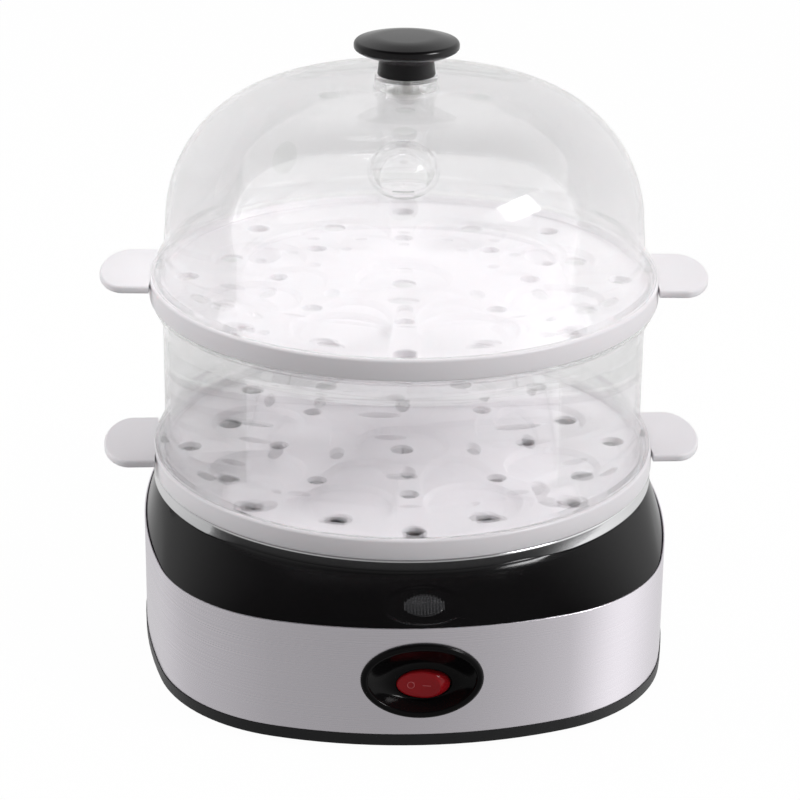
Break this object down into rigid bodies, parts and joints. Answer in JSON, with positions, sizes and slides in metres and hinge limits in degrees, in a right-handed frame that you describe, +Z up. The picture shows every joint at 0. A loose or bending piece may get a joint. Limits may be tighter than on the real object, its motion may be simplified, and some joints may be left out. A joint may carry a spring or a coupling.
{
  "type": "egg boiler",
  "caption": "Two-tier electric steam egg boiler: rounded-square base with rocker switch, stacked white trays, clear ring and clear domed lid.",
  "frame": {"origin": "on the surface it stands on, under the middle of the whole outline", "axes": "+Z up, -Y towards the switch, the tray ears lie along X"},
  "size_m": [0.2166, 0.212, 0.218],
  "materials": {
    "black_gloss": "moulded gloss black",
    "black_matt": "moulded satin black",
    "brushed_band": "brushed stainless, upright grain",
    "polished_dish": "polished stainless",
    "white_tray": "moulded white, light gloss",
    "clear_shell": "clear moulded polycarbonate",
    "clear_lens": "clear ribbed lens",
    "red_rocker": "translucent red",
    "rubber_foot": "soft black",
    "silicone": "pale silicone",
    "aluminium_plate": "as cast",
    "sheath_steel": "heat-dulled sheath",
    "zinc_steel": "zinc plated",
    "brass_tab": "plain brass",
    "ceramic_bead": "unglazed",
    "lead_insulation": "insulated copper",
    "neon_glass": "clear glass"
  },
  "bodies": {
    "base": {"base_cover": "black_matt", "cover_screws": "zinc_steel", "rubber_feet": "rubber_foot", "steel_band": "brushed_band", "upper_housing": "black_gloss", "heating_dish": "polished_dish", "dish_gasket": "silicone", "heat_plate": "aluminium_plate", "heating_element": "sheath_steel", "element_terminals": "ceramic_bead", "dish_studs": "zinc_steel", "stud_nuts": "zinc_steel", "thermostat": "black_matt", "thermostat_strap": "zinc_steel", "strap_screws": "zinc_steel", "thermal_fuse": "zinc_steel", "fuse_clip": "zinc_steel", "switch_bezel": "black_gloss", "switch_body": "black_matt", "switch_terminals": "brass_tab", "lamp_lens": "clear_lens", "lamp_holder": "black_matt", "neon_lamp": "neon_glass", "cord_gland": "black_matt", "cord_clamp": "black_matt", "clamp_screws": "zinc_steel", "terminal_block": "black_matt", "internal_leads": "lead_insulation"},
    "rocker": {"switch_rocker": "red_rocker"},
    "lower_tray": {"lower_tray": "white_tray"},
    "steamer_ring": {"steamer_ring": "clear_shell"},
    "upper_tray": {"upper_tray": "white_tray"},
    "lid": {"lid": "clear_shell", "lid_knob": "black_gloss", "knob_washer": "silicone", "knob_screw": "zinc_steel"}
  },
  "joints": [
    {"name": "rocker_tilt", "type": "hinge", "parent": "base", "child": "rocker", "pos_m": [0, -0.0977, 0.023], "axis": [0, 0, 1], "range_deg": [0, 20]},
    {"name": "lower_tray_lift", "type": "slide", "parent": "base", "child": "lower_tray", "axis": [0, 0, 1], "range_m": [0, 0.06]},
    {"name": "ring_lift", "type": "slide", "parent": "lower_tray", "child": "steamer_ring", "axis": [0, 0, 1], "range_m": [0, 0.08]},
    {"name": "upper_tray_lift", "type": "slide", "parent": "steamer_ring", "child": "upper_tray", "axis": [0, 0, 1], "range_m": [0, 0.06]},
    {"name": "lid_lift", "type": "slide", "parent": "upper_tray", "child": "lid", "axis": [0, 0, 1], "range_m": [0, 0.1]}
  ]
}
